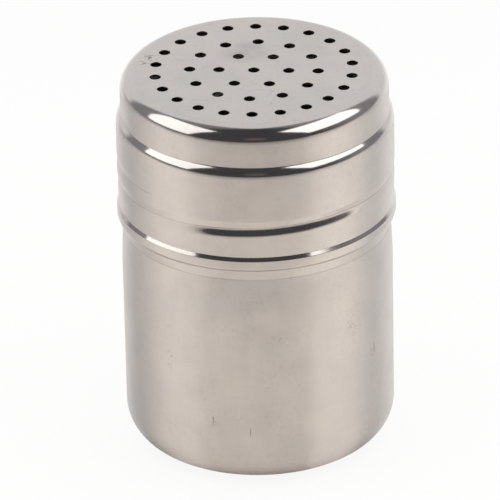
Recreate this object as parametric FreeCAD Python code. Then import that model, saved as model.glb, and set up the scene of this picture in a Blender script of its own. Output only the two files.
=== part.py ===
import FreeCAD, Part
import math
import os

# Stainless steel spice shaker: a drawn cup, a perforated screw lid and the seal ring between them.
# Millimetres, +Z up. The origin is the middle of the flat base. The front is towards -Y.

Vector = FreeCAD.Vector

# Sheet metal
SHEET = 0.5                      # thickness of the steel of the cup and the lid

# Lid outline, outside surface
LID_TOP_Z = 100.9                # flat perforated top
LID_CORNER_RADIUS = 4.5          # rounded edge of the top
UPPER_BAND_R = 33.8              # band under the top edge
SHOULDER_TOP_Z = 90.25           # inner corner between the upper band and the shoulder
SHOULDER_CORNER_Z = 88.9         # where the shoulder's slope would meet the grip band
SHOULDER_RADIUS = 3.7            # the shoulder rolls over into the grip band
GRIP_BAND_R = 35.0
GRIP_BAND_BOTTOM_Z = 76.0
SKIRT_R = 34.75                  # the skirt under it narrows slightly
RIM_STEP_TOP_Z = 65.7            # small step out to the rim
RIM_STEP_BOTTOM_Z = 64.65
RIM_R = 35.2
RIM_TURN_Z = 62.7                # the rim turns in a little at its lower edge
RIM_BOTTOM_Z = 62.0
RIM_BOTTOM_R = 34.95

# Cup outline, outside surface
BODY_LOW_R = 33.95               # the wall opens out very slightly upwards
BODY_R = 34.2
BODY_FULL_Z = 50.0
BASE_CORNER_RADIUS = 9.5
WAIST_R = 33.85                  # shallow waist under the lid
WAIST_Z = 59.8
BEAD_R = 34.4                    # rounded bead where the neck begins, just under the lid's rim
BEAD_Z = 61.5
NECK_R = 33.4
NECK_START_Z = 63.3
MOUTH_Z = 88.6                   # the neck's plain upper edge

# Sprinkling holes: one in the middle and three rings round it
HOLE_DIAMETER = 2.8
HOLE_RINGS = (                   # number of holes, ring radius, angle of the first one from +X
    (1, 0.0, 0.0),
    (6, 8.77, 55.75),
    (12, 16.16, 25.6),
    (22, 24.92, 6.56),
)

# Seal ring, under the lid's shoulder and resting on the neck's edge
SEAL_INNER_R = 32.2
SEAL_OUTER_R = 33.55
SEAL_HEIGHT = 1.1
SEAL_EDGE = 0.2                  # bevel on its edges


def point(radius, height):
    return Vector(radius, 0.0, height)


def rounded_line(corners):
    """A wire in the XZ plane through corners (radius, height, rounding); a rounding is a tangent arc."""
    edges = []
    start = point(corners[0][0], corners[0][1])
    for index in range(1, len(corners) - 1):
        before = point(corners[index - 1][0], corners[index - 1][1])
        corner = point(corners[index][0], corners[index][1])
        after = point(corners[index + 1][0], corners[index + 1][1])
        rounding = corners[index][2]
        if rounding == 0:
            edges.append(Part.LineSegment(start, corner).toShape())
            start = corner
            continue
        towards_before = (before - corner).normalize()
        towards_after = (after - corner).normalize()
        half_angle = towards_before.getAngle(towards_after) / 2
        reach = rounding / math.tan(half_angle)
        arc_start = corner + towards_before * reach
        arc_end = corner + towards_after * reach
        bisector = (towards_before + towards_after).normalize()
        centre = corner + bisector * (rounding / math.sin(half_angle))
        arc_middle = centre - bisector * rounding
        edges.append(Part.LineSegment(start, arc_start).toShape())
        edges.append(Part.Arc(arc_start, arc_middle, arc_end).toShape())
        start = arc_end
    edges.append(Part.LineSegment(start, point(corners[-1][0], corners[-1][1])).toShape())
    return Part.Wire(edges)


def drawn_sheet(corners, inward):
    """A sheet of even thickness, revolved about Z; inward is the side of the line that the metal is on."""
    section = rounded_line(corners).makeOffset2D(inward * SHEET, 2, True, True)
    return section.revolve(Vector(0, 0, 0), Vector(0, 0, 1), 360)


def make_lid():
    sheet = drawn_sheet([
        (0, LID_TOP_Z, 0),
        (UPPER_BAND_R, LID_TOP_Z, LID_CORNER_RADIUS),
        (UPPER_BAND_R, SHOULDER_TOP_Z, 0),
        (GRIP_BAND_R, SHOULDER_CORNER_Z, SHOULDER_RADIUS),
        (GRIP_BAND_R, GRIP_BAND_BOTTOM_Z, 0),
        (SKIRT_R, RIM_STEP_TOP_Z, 0),
        (RIM_R, RIM_STEP_BOTTOM_Z, 0),
        (RIM_R, RIM_TURN_Z, 0),
        (RIM_BOTTOM_R, RIM_BOTTOM_Z, 0),
    ], -1)
    holes = []
    for count, ring_r, first_angle in HOLE_RINGS:
        for index in range(count):
            angle = math.radians(first_angle + 360 * index / count)
            foot = Vector(ring_r * math.cos(angle), ring_r * math.sin(angle), LID_TOP_Z - 2 * SHEET)
            holes.append(Part.makeCylinder(HOLE_DIAMETER / 2, 3 * SHEET, foot))
    return sheet.cut(Part.makeCompound(holes))


def make_cup():
    sheet = drawn_sheet([
        (0, 0, 0),
        (BODY_LOW_R, 0, BASE_CORNER_RADIUS),
        (BODY_R, BODY_FULL_Z, 60.0),
        (WAIST_R, WAIST_Z, 0),
        (BEAD_R, BEAD_Z, 0.9),
        (NECK_R, NECK_START_Z, 0),
        (NECK_R, MOUTH_Z, 0),
    ], 1)
    return sheet


def make_seal():
    section = Part.makePolygon([
        point(SEAL_INNER_R, MOUTH_Z),
        point(SEAL_OUTER_R - SEAL_EDGE, MOUTH_Z),
        point(SEAL_OUTER_R, MOUTH_Z + SEAL_EDGE),
        point(SEAL_OUTER_R, MOUTH_Z + SEAL_HEIGHT - SEAL_EDGE),
        point(SEAL_OUTER_R - SEAL_EDGE, MOUTH_Z + SEAL_HEIGHT),
        point(SEAL_INNER_R, MOUTH_Z + SEAL_HEIGHT),
        point(SEAL_INNER_R, MOUTH_Z),
    ])
    return Part.Face(section).revolve(Vector(0, 0, 0), Vector(0, 0, 1), 360)


pieces = {
    "cup": make_cup(),
    "seal_ring": make_seal(),
    "perforated_lid": make_lid(),
}

os.makedirs("parts", exist_ok=True)
for name, shape in pieces.items():
    solid = shape.Solids[0]
    print(name, "solids", len(shape.Solids), "valid", shape.isValid(), "volume", round(solid.Volume, 1))
    solid.exportStep("parts/" + name + ".step")
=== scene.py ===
import math

import bmesh
import bpy
from mathutils import Matrix, Vector
from mathutils.geometry import delaunay_2d_cdt


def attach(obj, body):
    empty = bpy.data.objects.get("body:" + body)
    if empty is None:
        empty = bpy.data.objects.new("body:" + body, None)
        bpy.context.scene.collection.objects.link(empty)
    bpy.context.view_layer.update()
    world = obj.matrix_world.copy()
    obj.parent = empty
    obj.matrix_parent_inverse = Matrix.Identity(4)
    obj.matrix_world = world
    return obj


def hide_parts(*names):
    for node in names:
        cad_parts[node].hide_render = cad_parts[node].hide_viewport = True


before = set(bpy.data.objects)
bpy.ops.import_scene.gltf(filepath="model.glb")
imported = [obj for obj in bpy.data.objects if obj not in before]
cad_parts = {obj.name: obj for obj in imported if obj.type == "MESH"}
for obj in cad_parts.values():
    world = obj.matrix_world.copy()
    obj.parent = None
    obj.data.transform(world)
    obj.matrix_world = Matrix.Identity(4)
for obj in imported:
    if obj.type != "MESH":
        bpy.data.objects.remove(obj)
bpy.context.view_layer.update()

# Steel shaker: a drawn cup, a perforated screw lid and a seal ring.
# The front is towards -Y. Azimuths go counter-clockwise from it, seen from above.
# Shapes are in mm and become metres where a mesh is made. Floor, lamps and camera are in metres.

MM = 0.001
SHEET = 0.5                      # thickness of the steel
SEGMENTS = 288                   # points of each ring round the axis

# Lid, outside surface. A BEND is the rounding of a corner.
LID_TOP_Z = 100.9
LID_FLAT_R = 29.0                # the outline starts on the flat top
LID_CORNER = 4.5
UPPER_BAND_R = 33.8
SHOULDER_TOP_Z = 90.25
SHOULDER_TOP_BEND = 0.4
SHOULDER_CORNER_Z = 88.9
SHOULDER_BEND = 3.7
GRIP_BAND_R = 35.0
GRIP_BAND_BOTTOM_Z = 76.0
GRIP_BAND_BEND = 20.0
SKIRT_R = 34.65
RIM_STEP_TOP_Z = 65.7
RIM_STEP_TOP_BEND = 0.15
RIM_STEP_BOTTOM_Z = 64.78
RIM_STEP_BOTTOM_BEND = 0.3
RIM_R = 35.2
RIM_TURN_Z = 62.7
RIM_TURN_BEND = 0.8
RIM_BOTTOM_Z = 62.0
RIM_BOTTOM_R = 34.95

# Cup, outside surface
BASE_FLAT_R = 23.45              # the outline starts on the flat base
BODY_LOW_R = 33.95
BASE_CORNER = 9.5
BODY_R = 34.2
BODY_FULL_Z = 50.0
BODY_BEND = 60.0
WAIST_R = 33.85
WAIST_Z = 59.0
WAIST_BEND = 1.0
BEAD_R = 34.4
BEAD_Z = 61.9
BEAD_BEND = 0.5
NECK_R = 33.4
NECK_START_Z = 63.5
NECK_BEND = 0.5
MOUTH_Z = 88.6

# Fineness of the outlines: radians between the points of a bend, and mm between rows of points
LID_ARC_STEP = 0.12
CUP_ARC_STEP = 0.08
FEWEST_ARC_STEPS = 3
LID_THREAD_ROW = 0.22
CUP_THREAD_ROW = 0.286
PLAIN_ROW = 4.0
LID_THREAD_ZONE = (67.0, 81.0)   # heights between which the rows are close
CUP_THREAD_ZONE = (72.0, 83.0)

# Rolled thread, with azimuths in degrees
PITCH = 5.2
THREAD_FADE = 30.0               # length of each tapered end
LID_THREAD_FRONT_Z = 73.6        # height at the front
LID_THREAD_ENDS = (-130.0, 312.0)
GROOVE_DEPTH = 0.65              # in the deep stretch at the front
FAINT_DEPTH = 0.2                # elsewhere
GROOVE_HALF_WIDTH = 2.1
GROOVE_CREASED = 0.6
DEEP_FROM = (-32.0, -18.0)
DEEP_UNTIL = (38.0, 52.0)
DEEP_TOP_Z = 75.5                # the turn above this height stays faint
CUP_THREAD_FRONT_Z = LID_THREAD_FRONT_Z + PITCH / 2
CUP_THREAD_ENDS = (-90.0, 270.0)
RIDGE_HEIGHT = 0.65
RIDGE_HALF_WIDTH = 1.3
RIDGE_CREASED = 0.0

# Sprinkling holes
HOLE_R = 1.44
HOLE_RINGS = (                   # number of holes, ring radius, angle of the first one from +X
    (1, 0.0, 0.0),
    (6, 8.77, 55.75),
    (12, 16.16, 25.6),
    (22, 24.92, 6.56),
)
HOLE_SIDES = 32
HOLE_EDGE = 0.04                 # rounding of the upper edge
HOLE_EDGE_ANGLES = (0.35, 0.8, 1.25, math.pi / 2)
HOLE_BORDER = 0.06               # narrow faces round each hole and inside the top's edge keep the top flat
TOP_BORDER = 0.4
BASE_RINGS = (0.97, 0.6, 0.3, 0.05)  # rings of the flat base, as shares of its radius
MERGE_DISTANCE = 1e-7

# Steel
STEEL_WARM = (0.70, 0.653, 0.622, 1)
STEEL_COOL = (0.6615, 0.62688, 0.61267, 1)
BLACK = (0.0, 0.0, 0.0, 1)
WHITE = (1.0, 1.0, 1.0, 1)
# Dark colour of the marks of use, and of the painted shade in the creases
GRIME_AND_SHADE = (0.17, 0.115, 0.09, 1)
LID_SATIN = 0.36                 # roughness
CUP_SATIN = 0.38
SATIN_SPREAD = 0.025
POLISHED = 0.12
LEVEL = (0.97, 0.995)            # how far the normal points up or down where a wall ends and a flat begins
ROLLED = (0.1, 0.22)             # how far it points up where a wall ends and a rolled edge begins
BRUSHING = 0.55
BRUSHING_TURN = 0.25
ACROSS_GRAIN = (160.0, 160.0, 1100.0)
ALONG_GRAIN = (700.0, 700.0, 130.0)
WEAVE = 0.035                    # how much the grain darkens the steel

# Marks on the cup: azimuth in degrees, height in mm, and half the width and height in the same units
CUP_SCUFFS = (
    (44.5, 42.4, 6.5, 5.5),
    (57.3, 31.0, 3.0, 4.0),
    (-41.0, 33.0, 4.0, 4.0),
    (6.7, 41.4, 5.0, 2.2),
    (-21.3, 18.3, 4.0, 3.0),
)
CUP_STROKES = (
    (-4.6, 16.0, 0.4, 1.9),
    (-20.6, 18.6, 0.4, 1.6),
    (57.8, 31.2, 0.6, 2.4),
)
SCUFF_SHARE = 0.42
STROKE_SHARE = 0.45
CUP_SMUDGES = 0.07
# Half width of the painted shade line in the crease under the lid's rim
CUP_CREASE_SHADE_HALF_WIDTH = 0.22

# Marks on the lid's top: x, y, and half the width and depth, in mm
TOP_STAIN = (-2.0, 10.0, 8.0, 8.0)
TOP_SPECKS = (
    (-26.0, 8.0, 2.2, 2.2),
    (-28.0, 4.5, 1.6, 2.2),
)
LID_SMUDGES = 0.06

# Painted shade along the creases of the lid's thread: height at the front, and where each turn's line
# begins or ends, in degrees
LID_CREASE_SHADE_Z = 73.75
LID_CREASE_SHADE_HALF_WIDTH = 0.2
FIRST_TURN_BEGINS = (-130.0, -110.0)
SECOND_TURN_ENDS = (-46.0, -52.0)

SOFT_CORE = 0.3                  # a spot or band is full within this share of its half width
HAIR_HALF_WIDTH = 0.016

RUBBER_DARK = (0.62, 0.60, 0.56, 1)
RUBBER_LIGHT = (0.70, 0.68, 0.64, 1)

# The floor as the steel mirrors it, painted in bands of light and shade: in front, beside and behind the
# shaker, far off, and painted pools of lamp light that glow
FLOOR_SIZE = 8.0
FLOOR_GAP = 0.0002
FLOOR_FRONT = (0.95, 0.905, 0.855, 1)
FLOOR_LEFT = (0.64, 0.64, 0.64, 1)
FLOOR_RIGHT = (0.78, 0.78, 0.77, 1)
FLOOR_BEHIND = (0.98, 0.98, 0.98, 1)
FLOOR_FAR = (0.6, 0.57, 0.54, 1)
FLOOR_PAINTED_LIGHT = (2.3, 2.2, 2.1, 1)

# Where those parts of the floor meet, in radians of azimuth as the wall mirrors them
MIRROR_STEPS = 4
BANDS_TURN = 0.1
LEFT_TO_RIGHT = (-0.5, 0.5)
FRONT_TO_SIDES = (1.5, 2.1)
SIDES_TO_BEHIND = (2.1, 2.6)
RIGHT_LIT = ((0.7, 0.95), (2.0, 1.25))
LEFT_LIT = ((-0.8, -1.05), (-1.8, -1.45))
BEHIND_LIT = (2.3, 2.8)
RIGHT_LIT_SHARE = 1.15
OTHER_LIT_SHARE = 0.7
FAR_Y = (-0.18, -0.27)           # metres
DISTANT_REACH = (0.25, 0.7)      # metres from the axis
DISTANT_TURN = (1.9, 2.4)

# How much of the floor glows by itself for each kind of ray; the rest is paint, which shows shadows
CAMERA_GLOW = 0.9
GLOSSY_GLOW = 0.15
DISTANT_GLOW = 0.7

# The room as the steel mirrors it, and where its parts meet along the direction's Y or Z
DARK_ROOM = (0.062, 0.062, 0.067, 1)
GREY_ROOM = (0.26, 0.26, 0.27, 1)
WHITE_BACKDROP = (0.8, 0.805, 0.805, 1)
WARM_STRIP = (0.16, 0.12, 0.115, 1)
DARK_TO_GREY_Y = (-0.7, 0.1)
GREY_TO_WHITE_Y = (0.52, 0.66)
STRIP_BOTTOM_Z = (0.2, 0.27)
STRIP_TOP_Z = (0.5, 0.42)
STRIP_Y = (-0.98, -0.998)

LAMPS_AIM_Z = 0.08

# Camera: the photograph's view, from far away with a long lens
CAMERA_ELEVATION = 27.18
CAMERA_ROLL = -1.189
CAMERA_DISTANCE = 2.7735
CAMERA_AIM = (-0.001904, 0, 0.05018)
FOCAL_PIXELS = 10968.9
FRAME_PIXELS = 500
SENSOR_WIDTH = 36.0
CLIP_END = 20.0


def rounded_profile(corners, arc_step):
    """Points (r, z) along a line through corners (r, z, rounding), each corner rounded by a tangent arc."""
    points = [Vector(corners[0][:2])]
    for index in range(1, len(corners) - 1):
        before, corner, after = (Vector(corners[index + k][:2]) for k in (-1, 0, 1))
        rounding = corners[index][2]
        to_before = (before - corner).normalized()
        to_after = (after - corner).normalized()
        half_angle = to_before.angle(to_after) / 2
        reach = rounding / math.tan(half_angle)
        bisector = (to_before + to_after).normalized()
        centre = corner + bisector * (rounding / math.sin(half_angle))
        start = corner + to_before * reach - centre
        end = corner + to_after * reach - centre
        turn = math.pi - 2 * half_angle
        if start.x * end.y - start.y * end.x < 0:
            turn = -turn
        steps = max(FEWEST_ARC_STEPS, math.ceil(abs(turn) / arc_step))
        for step in range(steps + 1):
            angle = turn * step / steps
            cosine, sine = math.cos(angle), math.sin(angle)
            points.append(centre + Vector((start.x * cosine - start.y * sine,
                                           start.x * sine + start.y * cosine)))
    points.append(Vector(corners[-1][:2]))
    return points


def with_rows(points, spacing, zone):
    """The same line with extra points, no further apart than spacing between the zone's two heights."""
    low, high = zone
    rows = [points[0]]
    for point in points[1:]:
        last = rows[-1]
        inside = min(max(last.y, point.y), high) > max(min(last.y, point.y), low)
        parts = max(1, math.ceil((point - last).length / (spacing if inside else PLAIN_ROW)))
        for part in range(1, parts + 1):
            rows.append(last.lerp(point, part / parts))
    return rows


def offset_line(points, distance):
    """The line moved sideways by distance, to the right of its direction."""
    moved = []
    for index, point in enumerate(points):
        ahead = points[min(index + 1, len(points) - 1)] - points[max(index - 1, 0)]
        ahead.normalize()
        moved.append(point + Vector((ahead.y, -ahead.x)) * distance)
    return moved


def smooth(value, low, high):
    """0 at low, 1 at high and a smooth rise between them."""
    share = min(max((value - low) / (high - low), 0.0), 1.0)
    return share * share * (3 - 2 * share)


def thread_bump(angle, height, front_z, ends, half_width, creased):
    """0 to 1: how far a point of the wall lies in the thread, which fades out at both ends.

    creased is 0 for a soft rounded thread and 1 for one with straight flanks and sharp edges.
    """
    start, end = ends
    total = 0.0
    for turn in (-1, 0, 1):
        along = angle + 360 * turn
        from_end = min(along - start, end - along)
        if from_end <= 0:
            continue
        across = abs(height - (front_z + PITCH * along / 360)) / half_width
        if across < 1:
            fade = 0.5 - 0.5 * math.cos(math.pi * min(from_end / THREAD_FADE, 1.0))
            total += fade * (1 - creased * across - (1 - creased) * smooth(across, 0, 1))
    return total


def lid_groove(angle, height):
    """The rolled groove: faint where the roller started and left, deep in the stretch at the front."""
    deep = 0.0
    if height < DEEP_TOP_Z:
        from_front = (angle + 180) % 360 - 180
        deep = smooth(from_front, *DEEP_FROM) * (1 - smooth(from_front, *DEEP_UNTIL))
    depth = FAINT_DEPTH + (GROOVE_DEPTH - FAINT_DEPTH) * deep
    return -depth * thread_bump(angle, height, LID_THREAD_FRONT_Z, LID_THREAD_ENDS,
                                GROOVE_HALF_WIDTH, GROOVE_CREASED)


def cup_ridge(angle, height):
    """The cup's thread: a soft ridge on the neck, which the lid hides when it is closed."""
    return RIDGE_HEIGHT * thread_bump(angle, height, CUP_THREAD_FRONT_Z, CUP_THREAD_ENDS,
                                      RIDGE_HALF_WIDTH, RIDGE_CREASED)


def no_relief(angle, height):
    return 0.0


def add_ring(mesh, radius, height, relief):
    """A ring of points round the axis, each moved outwards by the relief there."""
    ring = []
    for index in range(SEGMENTS):
        angle = 360 * index / SEGMENTS
        reach = (radius + relief(angle, height)) * MM
        turn = math.radians(angle)
        ring.append(mesh.verts.new((reach * math.sin(turn), -reach * math.cos(turn), height * MM)))
    return ring


def join_rings(mesh, first, second):
    for index in range(len(first)):
        after = (index + 1) % len(first)
        mesh.faces.new((first[index], first[after], second[after], second[index]))


def add_wall(mesh, points, relief):
    """A wall of revolution through the line's points; returns its first and last ring."""
    rings = [add_ring(mesh, point.x, point.y, relief) for point in points]
    for first, second in zip(rings, rings[1:]):
        join_rings(mesh, first, second)
    return rings[0], rings[-1]


def ring_radius(ring):
    return math.hypot(ring[0].co.x, ring[0].co.y) / MM


def add_disc(mesh, ring, height):
    """A plain flat disc inside a ring."""
    last = ring
    for share in BASE_RINGS:
        inner = add_ring(mesh, ring_radius(ring) * share, height, no_relief)
        join_rings(mesh, last, inner)
        last = inner
    mesh.faces.new(last)


def hole_centres():
    for count, ring_r, first_angle in HOLE_RINGS:
        for index in range(count):
            angle = math.radians(first_angle + 360 * index / count)
            yield Vector((ring_r * math.cos(angle), ring_r * math.sin(angle)))


def add_hole_ring(mesh, centre, radius, height):
    ring = []
    for side in range(HOLE_SIDES):
        turn = 2 * math.pi * side / HOLE_SIDES
        ring.append(mesh.verts.new(((centre.x + radius * math.cos(turn)) * MM,
                                    (centre.y + radius * math.sin(turn)) * MM, height * MM)))
    return ring


def add_perforated_disc(mesh, ring, height, hole_r):
    """A flat disc inside a ring with the sprinkling holes cut out; returns each hole's ring of points."""
    inner = add_ring(mesh, ring_radius(ring) - TOP_BORDER, height, no_relief)
    join_rings(mesh, ring, inner)
    borders = [inner]
    hole_rings = []
    for centre in hole_centres():
        border = add_hole_ring(mesh, centre, hole_r + HOLE_BORDER, height)
        edge = add_hole_ring(mesh, centre, hole_r, height)
        join_rings(mesh, border, edge)
        borders.append(border)
        hole_rings.append(edge)
    vertices = [vertex for border in borders for vertex in border]
    flat_points = [Vector((vertex.co.x / MM, vertex.co.y / MM)) for vertex in vertices]
    loops = []
    first = 0
    for border in borders:
        loops.append(list(range(first, first + len(border))))
        first += len(border)
    edges = [(loop[k], loop[(k + 1) % len(loop)]) for loop in loops for k in range(len(loop))]
    _, _, faces, _, _, enclosing = delaunay_2d_cdt(flat_points, edges, loops, 0, MERGE_DISTANCE)
    for face, loops_round_it in zip(faces, enclosing):
        # A face that isn't in a hole has only the first loop, the disc's edge, round it
        if loops_round_it == [0]:
            mesh.faces.new([vertices[k] for k in face])
    return hole_rings


def add_hole_walls(mesh, upper_rings, lower_rings):
    """The walls of the holes through the sheet, with a small rounding at the upper edge."""
    for centre, upper, lower in zip(hole_centres(), upper_rings, lower_rings):
        last = upper
        for angle in HOLE_EDGE_ANGLES:
            radius = HOLE_R + HOLE_EDGE * (1 - math.sin(angle))
            height = LID_TOP_Z - HOLE_EDGE * (1 - math.cos(angle))
            ring = add_hole_ring(mesh, centre, radius, height)
            join_rings(mesh, last, ring)
            last = ring
        join_rings(mesh, last, lower)


def finish_piece(mesh, name, node, body, material):
    """Turns the mesh into a piece of the model that stands in for a node of the solids."""
    bmesh.ops.recalc_face_normals(mesh, faces=mesh.faces)
    data = bpy.data.meshes.new(name)
    mesh.to_mesh(data)
    mesh.free()
    data.polygons.foreach_set("use_smooth", [True] * len(data.polygons))
    data.materials.append(material)
    piece = bpy.data.objects.new(name, data)
    bpy.context.scene.collection.objects.link(piece)
    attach(piece, body)
    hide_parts(node)


def make_lid(material):
    outline = rounded_profile([
        (LID_FLAT_R, LID_TOP_Z, 0),
        (UPPER_BAND_R, LID_TOP_Z, LID_CORNER),
        (UPPER_BAND_R, SHOULDER_TOP_Z, SHOULDER_TOP_BEND),
        (GRIP_BAND_R, SHOULDER_CORNER_Z, SHOULDER_BEND),
        (GRIP_BAND_R, GRIP_BAND_BOTTOM_Z, GRIP_BAND_BEND),
        (SKIRT_R, RIM_STEP_TOP_Z, RIM_STEP_TOP_BEND),
        (RIM_R, RIM_STEP_BOTTOM_Z, RIM_STEP_BOTTOM_BEND),
        (RIM_R, RIM_TURN_Z, RIM_TURN_BEND),
        (RIM_BOTTOM_R, RIM_BOTTOM_Z, 0),
    ], LID_ARC_STEP)
    outside = with_rows(outline, LID_THREAD_ROW, LID_THREAD_ZONE)
    inside = offset_line(outside, SHEET)
    inside[0] = Vector((outside[0].x, LID_TOP_Z - SHEET))
    mesh = bmesh.new()
    outer_top, outer_end = add_wall(mesh, outside, lid_groove)
    inner_top, inner_end = add_wall(mesh, inside, lid_groove)
    edge_middle = (outside[-1] + inside[-1]) / 2
    edge = add_ring(mesh, edge_middle.x, edge_middle.y, lid_groove)
    join_rings(mesh, outer_end, edge)
    join_rings(mesh, edge, inner_end)
    upper = add_perforated_disc(mesh, outer_top, LID_TOP_Z, HOLE_R + HOLE_EDGE)
    lower = add_perforated_disc(mesh, inner_top, LID_TOP_Z - SHEET, HOLE_R)
    add_hole_walls(mesh, upper, lower)
    finish_piece(mesh, "lid_shell", "perforated_lid", "lid", material)


def make_cup(material):
    outline = rounded_profile([
        (BASE_FLAT_R, 0, 0),
        (BODY_LOW_R, 0, BASE_CORNER),
        (BODY_R, BODY_FULL_Z, BODY_BEND),
        (WAIST_R, WAIST_Z, WAIST_BEND),
        (BEAD_R, BEAD_Z, BEAD_BEND),
        (NECK_R, NECK_START_Z, NECK_BEND),
        (NECK_R, MOUTH_Z, 0),
    ], CUP_ARC_STEP)
    outside = with_rows(outline, CUP_THREAD_ROW, CUP_THREAD_ZONE)
    inside = offset_line(outside, -SHEET)
    mesh = bmesh.new()
    outer_foot, outer_mouth = add_wall(mesh, outside, cup_ridge)
    inner_foot, inner_mouth = add_wall(mesh, inside, cup_ridge)
    join_rings(mesh, outer_mouth, inner_mouth)
    add_disc(mesh, outer_foot, 0.0)
    add_disc(mesh, inner_foot, SHEET)
    finish_piece(mesh, "cup_shell", "cup", "cup", material)


class Nodes:
    """Short calls for building a node tree. Most take and return sockets."""

    MIX_SOCKETS = {"FLOAT": (2, 3, 0), "VECTOR": (4, 5, 1), "RGBA": (6, 7, 2)}

    def __init__(self, tree):
        self.tree = tree
        self.tree.nodes.clear()

    def add(self, kind, **settings):
        node = self.tree.nodes.new(kind)
        for key, value in settings.items():
            setattr(node, key, value)
        return node

    def link(self, source, target):
        self.tree.links.new(source, target)

    def feed(self, target, source):
        """Links a socket, or sets a plain value."""
        if isinstance(source, bpy.types.NodeSocket):
            self.link(source, target)
        else:
            target.default_value = source

    def coordinates(self, kind):
        return self.add("ShaderNodeTexCoord").outputs[kind]

    def split(self, vector):
        """The vector's three parts, by index or by the names X, Y and Z."""
        node = self.add("ShaderNodeSeparateXYZ")
        self.link(vector, node.inputs[0])
        return node.outputs

    def maths(self, operation, first, second=None, clamp=False):
        node = self.add("ShaderNodeMath", operation=operation, use_clamp=clamp)
        self.feed(node.inputs[0], first)
        if second is not None:
            self.feed(node.inputs[1], second)
        return node.outputs[0]

    def product(self, first, *others):
        for other in others:
            first = self.maths("MULTIPLY", first, other)
        return first

    def total(self, first, *others):
        """The sum of shares, held at 1."""
        for other in others:
            first = self.maths("ADD", first, other, clamp=True)
        return first

    def invert(self, share):
        return self.maths("SUBTRACT", 1.0, share)

    def azimuth(self, x, y):
        """The angle from the front, in radians."""
        return self.maths("ARCTAN2", x, self.maths("MULTIPLY", y, -1.0))

    def vector_maths(self, operation, *vectors):
        node = self.add("ShaderNodeVectorMath", operation=operation)
        for target, vector in zip(node.inputs, vectors):
            self.feed(target, vector)
        return node.outputs["Value" if operation == "LENGTH" else "Vector"]

    def ramp(self, source, low, high, out_low=0.0, out_high=1.0):
        """A smooth change from out_low at low to out_high at high."""
        node = self.add("ShaderNodeMapRange", interpolation_type="SMOOTHSTEP")
        self.feed(node.inputs["Value"], source)
        node.inputs["From Min"].default_value = low
        node.inputs["From Max"].default_value = high
        node.inputs["To Min"].default_value = out_low
        node.inputs["To Max"].default_value = out_high
        return node.outputs["Result"]

    def noise(self, vector, scale, detail=3.0):
        node = self.add("ShaderNodeTexNoise")
        self.link(vector, node.inputs["Vector"])
        node.inputs["Scale"].default_value = scale
        node.inputs["Detail"].default_value = detail
        return node.outputs["Fac"]

    def mapping(self, vector, scale, location=(0, 0, 0)):
        node = self.add("ShaderNodeMapping")
        self.link(vector, node.inputs["Vector"])
        node.inputs["Scale"].default_value = scale
        node.inputs["Location"].default_value = location
        return node.outputs["Vector"]

    def mix(self, share, first, second, kind="RGBA"):
        node = self.add("ShaderNodeMix", data_type=kind)
        first_socket, second_socket, result = self.MIX_SOCKETS[kind]
        self.feed(node.inputs[0], share)
        self.feed(node.inputs[first_socket], first)
        self.feed(node.inputs[second_socket], second)
        return node.outputs[result]

    def band(self, value, middle, half_width):
        """1 near the middle value, fading to 0 at half_width from it."""
        away = self.maths("ABSOLUTE", self.maths("SUBTRACT", value, middle))
        return self.ramp(away, half_width, half_width * SOFT_CORE)

    def spot(self, vector, x, y, half_x, half_y):
        """1 in the middle of an oval in the vector's first two parts, fading to 0 at its edge."""
        local = self.mapping(vector, (1 / half_x, 1 / half_y, 0.0), (-x / half_x, -y / half_y, 0.0))
        return self.ramp(self.vector_maths("LENGTH", local), 1.0, SOFT_CORE)

    def spots(self, vector, places):
        return self.total(*(self.spot(vector, *place) for place in places))

    def hairs(self, vector, scale):
        """Thin winding lines, as of fine scratches."""
        return self.band(self.noise(vector, scale, detail=2.0), 0.5, HAIR_HALF_WIDTH)

    def smudges(self, vector, most):
        """Small darker flecks in loose clouds."""
        flecks = self.ramp(self.noise(vector, 900.0, detail=4.0), 0.5, 0.68, 0.0, most)
        return self.product(flecks, self.ramp(self.noise(vector, 90.0), 0.42, 0.6))

    def level(self):
        """1 on the flat top and base, 0 on the walls and bends."""
        upward = self.split(self.coordinates("Normal"))["Z"]
        return self.ramp(self.maths("ABSOLUTE", upward), *LEVEL)


def principled_material(name):
    """A new material with a Principled shader; returns it, its nodes and the shader."""
    material = bpy.data.materials.new(name)
    material.use_nodes = True
    n = Nodes(material.node_tree)
    shader = n.add("ShaderNodeBsdfPrincipled")
    n.link(shader.outputs[0], n.add("ShaderNodeOutputMaterial").inputs[0])
    return material, n, shader


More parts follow.
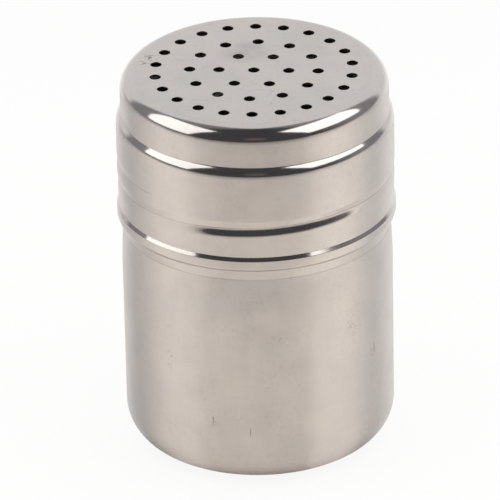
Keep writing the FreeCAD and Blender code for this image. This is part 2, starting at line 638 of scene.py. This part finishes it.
def steel_material(name, satin, polish, add_marks_and_shade):
    """Brushed steel. satin is its roughness, and polish how far its rolled edges are polished, 0 to 1."""
    material, n, shader = principled_material(name)
    place = n.coordinates("Object")
    level = n.level()
    # Colour: blotches of warmer and cooler steel, a faint weave of brushing, and the marks of use with
    # painted shade in the creases
    blotches = n.ramp(n.noise(place, 75.0, detail=5.0), 0.35, 0.65)
    across = n.ramp(n.noise(n.mapping(place, ACROSS_GRAIN), 1.0), 0.3, 0.7, 0.0, 0.5)
    along = n.ramp(n.noise(n.mapping(place, ALONG_GRAIN), 1.0), 0.3, 0.7, 0.0, 0.5)
    finish = n.mix(blotches, STEEL_WARM, STEEL_COOL)
    finish = n.mix(n.product(n.maths("ADD", across, along), WEAVE), finish, BLACK)
    # One dark colour for the marks of use and for the painted shade in the creases
    finish = n.mix(add_marks_and_shade(n, place), finish, GRIME_AND_SHADE)
    n.link(finish, shader.inputs["Base Color"])
    # Satin on the straight walls and the flats, polished where the sheet is rolled over an edge
    upward = n.split(n.coordinates("Normal"))["Z"]
    rolled = n.product(n.ramp(upward, *ROLLED), n.invert(level), polish)
    brushed = n.ramp(n.noise(place, 160.0), 0.3, 0.7, satin - SATIN_SPREAD, satin + SATIN_SPREAD)
    n.link(n.mix(rolled, brushed, POLISHED, "FLOAT"), shader.inputs["Roughness"])
    # Brushed round the axis on the walls and across the flats
    round_axis = n.add("ShaderNodeTangent", direction_type="RADIAL", axis="Z").outputs[0]
    n.link(n.mix(level, round_axis, (0.0, 1.0, 0.0), "VECTOR"), shader.inputs["Tangent"])
    shader.inputs["Metallic"].default_value = 1.0
    shader.inputs["Anisotropic"].default_value = BRUSHING
    shader.inputs["Anisotropic Rotation"].default_value = BRUSHING_TURN
    return material


def wall_grid(n, place):
    """The azimuth in degrees, the height in mm, and both as one vector."""
    x, y, z = n.split(place)
    azimuth = n.product(n.azimuth(x, y), 180 / math.pi)
    height = n.product(z, 1 / MM)
    grid = n.add("ShaderNodeCombineXYZ")
    n.link(azimuth, grid.inputs[0])
    n.link(height, grid.inputs[1])
    return azimuth, height, grid.outputs[0]


def cup_marks_and_crease_shade(n, place):
    """Short strokes and scuffs on the wall, and a painted shade line in the crease under the lid's rim."""
    _, height, grid = wall_grid(n, place)
    scuffs = n.product(n.hairs(place, 520.0), n.spots(grid, CUP_SCUFFS), SCUFF_SHARE)
    strokes = n.product(n.spots(grid, CUP_STROKES), STROKE_SHARE)
    # Painted shade: a dark line in the crease under the lid's rim
    crease = n.product(n.band(height, WAIST_Z, CUP_CREASE_SHADE_HALF_WIDTH),
                       n.ramp(n.noise(place, 90.0), 0.35, 0.65, 0.1, 0.35))
    return n.total(scuffs, strokes, crease, n.smudges(place, CUP_SMUDGES))


def lid_marks_and_thread_shade(n, place):
    """Thin lines of painted shade along the creases of the rolled thread, and a stain, specks and fine
    scratches on the top.
    """
    azimuth, height, _ = wall_grid(n, place)
    climb = n.maths("SUBTRACT", height, n.product(azimuth, PITCH / 360))
    # Painted shade: dark lines along the creases of the rolled thread, one for each turn
    first_turn = n.product(n.band(climb, LID_CREASE_SHADE_Z, LID_CREASE_SHADE_HALF_WIDTH),
                           n.ramp(azimuth, *FIRST_TURN_BEGINS))
    second_turn = n.product(n.band(climb, LID_CREASE_SHADE_Z + PITCH, LID_CREASE_SHADE_HALF_WIDTH),
                            n.ramp(azimuth, *SECOND_TURN_ENDS))
    crease = n.product(n.total(first_turn, second_turn),
                       n.ramp(n.noise(place, 90.0), 0.35, 0.65, 0.2, 0.5))
    flat = n.mapping(place, (1 / MM, 1 / MM, 0.0))
    stain = n.product(n.spot(flat, *TOP_STAIN), n.ramp(n.noise(place, 160.0), 0.3, 0.7, 0.05, 0.24))
    specks = n.product(n.spots(flat, TOP_SPECKS), n.ramp(n.noise(place, 900.0), 0.5, 0.62, 0.0, 0.75))
    scratches = n.product(n.hairs(n.mapping(place, (1.0, 2.2, 1.0)), 60.0),
                          n.ramp(n.noise(place, 50.0), 0.5, 0.62, 0.0, 0.1))
    on_top = n.product(n.total(stain, specks, scratches), n.level())
    return n.total(crease, on_top, n.smudges(place, LID_SMUDGES))


def rubber_material():
    material, n, shader = principled_material("seal_rubber")
    place = n.coordinates("Object")
    tint = n.ramp(n.noise(place, 300.0), 0.3, 0.7)
    n.link(n.mix(tint, RUBBER_DARK, RUBBER_LIGHT), shader.inputs["Base Color"])
    n.link(n.ramp(n.noise(place, 900.0), 0.3, 0.7, 0.5, 0.62), shader.inputs["Roughness"])
    return material


def mirrored_azimuth(n, azimuth, reach):
    """The azimuth towards which the shaker's wall mirrors a place. Close by it isn't the place's own."""
    inward = n.maths("MINIMUM", n.maths("DIVIDE", BODY_R * MM, reach), 1.0)
    mirrored = azimuth
    for _ in range(MIRROR_STEPS):
        offset = n.product(inward, n.maths("SINE", n.product(mirrored, 0.5)))
        mirrored = n.maths("ADD", azimuth, n.maths("ARCSINE", offset))
    return mirrored


def floor_material():
    """A pale floor that the camera sees as white, and that the steel mirrors in painted bands of light and
    shade.
    """
    material = bpy.data.materials.new("floor_white")
    material.use_nodes = True
    n = Nodes(material.node_tree)
    place = n.coordinates("Object")
    x, y, _ = n.split(place)
    reach = n.vector_maths("LENGTH", place)
    rays = n.add("ShaderNodeLightPath")
    camera_ray = rays.outputs["Is Camera Ray"]
    glossy_ray = rays.outputs["Is Glossy Ray"]
    mirrored = mirrored_azimuth(n, n.azimuth(x, y), reach)
    turned = n.maths("ABSOLUTE", n.maths("ADD", mirrored, BANDS_TURN))
    # Colour: painted bands of light and shade, darker to the left and right, lighter behind, and darker far
    # off in front
    sides = n.mix(n.ramp(mirrored, *LEFT_TO_RIGHT), FLOOR_LEFT, FLOOR_RIGHT)
    colour = n.mix(n.ramp(turned, *FRONT_TO_SIDES), FLOOR_FRONT, sides)
    colour = n.mix(n.ramp(turned, *SIDES_TO_BEHIND), colour, FLOOR_BEHIND)
    colour = n.mix(n.ramp(y, *FAR_Y), colour, FLOOR_FAR)
    colour = n.mix(camera_ray, colour, WHITE)
    # Painted pools of light: brighter glowing stretches, which only mirror
    right, left = (n.product(n.ramp(mirrored, *begins), n.ramp(mirrored, *ends))
                   for begins, ends in (RIGHT_LIT, LEFT_LIT))
    others = n.maths("ADD", left, n.ramp(turned, *BEHIND_LIT))
    lit = n.maths("ADD", n.product(right, RIGHT_LIT_SHARE), n.product(others, OTHER_LIT_SHARE))
    distant = n.product(n.ramp(reach, *DISTANT_REACH), n.ramp(turned, *DISTANT_TURN))
    lit = n.product(lit, n.invert(camera_ray), n.invert(distant))
    # Paint, and the share of it that glows
    glossy_glow = n.maths("ADD", GLOSSY_GLOW, n.product(distant, DISTANT_GLOW))
    glowing = n.maths("ADD", n.product(camera_ray, CAMERA_GLOW), n.product(glossy_ray, glossy_glow))
    paint = n.add("ShaderNodeBsdfDiffuse")
    n.link(colour, paint.inputs["Color"])
    glow = n.add("ShaderNodeEmission")
    n.link(n.mix(lit, colour, FLOOR_PAINTED_LIGHT), glow.inputs["Color"])
    surface = n.add("ShaderNodeMixShader")
    n.link(glowing, surface.inputs[0])
    n.link(paint.outputs[0], surface.inputs[1])
    n.link(glow.outputs[0], surface.inputs[2])
    n.link(surface.outputs[0], n.add("ShaderNodeOutputMaterial").inputs[0])
    return material


def make_floor():
    bpy.ops.mesh.primitive_plane_add(size=FLOOR_SIZE, location=(0, 0, -FLOOR_GAP))
    floor = bpy.context.object
    floor.name = "floor"
    floor.data.materials.append(floor_material())


def make_world():
    """The room: white behind the shaker, grey at its sides, and dark in front with a low warm strip.

    The camera itself sees white all round.
    """
    world = bpy.data.worlds.new("studio")
    bpy.context.scene.world = world
    world.use_nodes = True
    n = Nodes(world.node_tree)
    direction = n.coordinates("Generated")
    flat = n.vector_maths("MULTIPLY", direction, (1.0, 1.0, 0.0))
    compass_y = n.split(n.vector_maths("NORMALIZE", flat))["Y"]
    up = n.split(direction)["Z"]
    room = n.mix(n.ramp(compass_y, *DARK_TO_GREY_Y), DARK_ROOM, GREY_ROOM)
    room = n.mix(n.ramp(compass_y, *GREY_TO_WHITE_Y), room, WHITE_BACKDROP)
    strip = n.product(n.ramp(up, *STRIP_BOTTOM_Z), n.ramp(up, *STRIP_TOP_Z), n.ramp(compass_y, *STRIP_Y))
    room = n.mix(strip, room, WARM_STRIP)
    camera_ray = n.add("ShaderNodeLightPath").outputs["Is Camera Ray"]
    background = n.add("ShaderNodeBackground")
    n.link(n.mix(camera_ray, room, WHITE), background.inputs["Color"])
    n.link(background.outputs[0], n.add("ShaderNodeOutputWorld").inputs[0])


def softbox(name, azimuth, elevation, distance, width, height, radiance, colour):
    """A rectangular lamp that faces the shaker."""
    lamp = bpy.data.lights.new(name, "AREA")
    lamp.shape = "RECTANGLE"
    lamp.size = width
    lamp.size_y = height
    lamp.energy = radiance * math.pi * width * height
    lamp.color = colour
    holder = bpy.data.objects.new(name, lamp)
    turn, rise = math.radians(azimuth), math.radians(elevation)
    away = Vector((math.sin(turn) * math.cos(rise), -math.cos(turn) * math.cos(rise), math.sin(rise)))
    holder.location = away * distance + Vector((0, 0, LAMPS_AIM_Z))
    holder.rotation_euler = away.to_track_quat("Z", "Y").to_euler()
    holder.visible_camera = False
    bpy.context.scene.collection.objects.link(holder)
    return holder


def make_lamps():
    softbox("softbox_left", azimuth=-75.5, elevation=33, distance=0.5, width=0.41, height=0.45,
            radiance=1.38, colour=(1.0, 0.98, 0.945))
    softbox("softbox_right", azimuth=72, elevation=43, distance=0.5, width=0.5, height=0.37,
            radiance=1.55, colour=(1.0, 0.985, 0.95))
    overhead = softbox("overhead", azimuth=0, elevation=75, distance=1.4, width=1.4, height=1.4,
                       radiance=1.4, colour=(1.0, 0.98, 0.95))
    overhead.visible_glossy = False


def make_camera():
    elevation = math.radians(CAMERA_ELEVATION)
    roll = math.radians(CAMERA_ROLL)
    back = Vector((0, -math.cos(elevation), math.sin(elevation)))
    right = Vector((1, 0, 0))
    up = back.cross(right)
    turned_right = right * math.cos(roll) + up * math.sin(roll)
    turned_up = up * math.cos(roll) - right * math.sin(roll)
    data = bpy.data.cameras.new("camera")
    data.sensor_width = SENSOR_WIDTH
    data.lens = FOCAL_PIXELS / FRAME_PIXELS * SENSOR_WIDTH
    data.clip_end = CLIP_END
    camera = bpy.data.objects.new("camera", data)
    place = Matrix((turned_right, turned_up, back)).transposed().to_4x4()
    place.translation = Vector(CAMERA_AIM) + back * CAMERA_DISTANCE
    camera.matrix_world = place
    bpy.context.scene.collection.objects.link(camera)
    bpy.context.scene.camera = camera


make_lid(steel_material("lid_steel", satin=LID_SATIN, polish=1.0, add_marks_and_shade=lid_marks_and_thread_shade))
make_cup(steel_material("cup_steel", satin=CUP_SATIN, polish=0.0, add_marks_and_shade=cup_marks_and_crease_shade))
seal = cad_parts["seal_ring"]
seal.data.materials.clear()
seal.data.materials.append(rubber_material())

make_floor()
make_world()
make_lamps()
make_camera()
bpy.context.scene.view_settings.view_transform = "Standard"
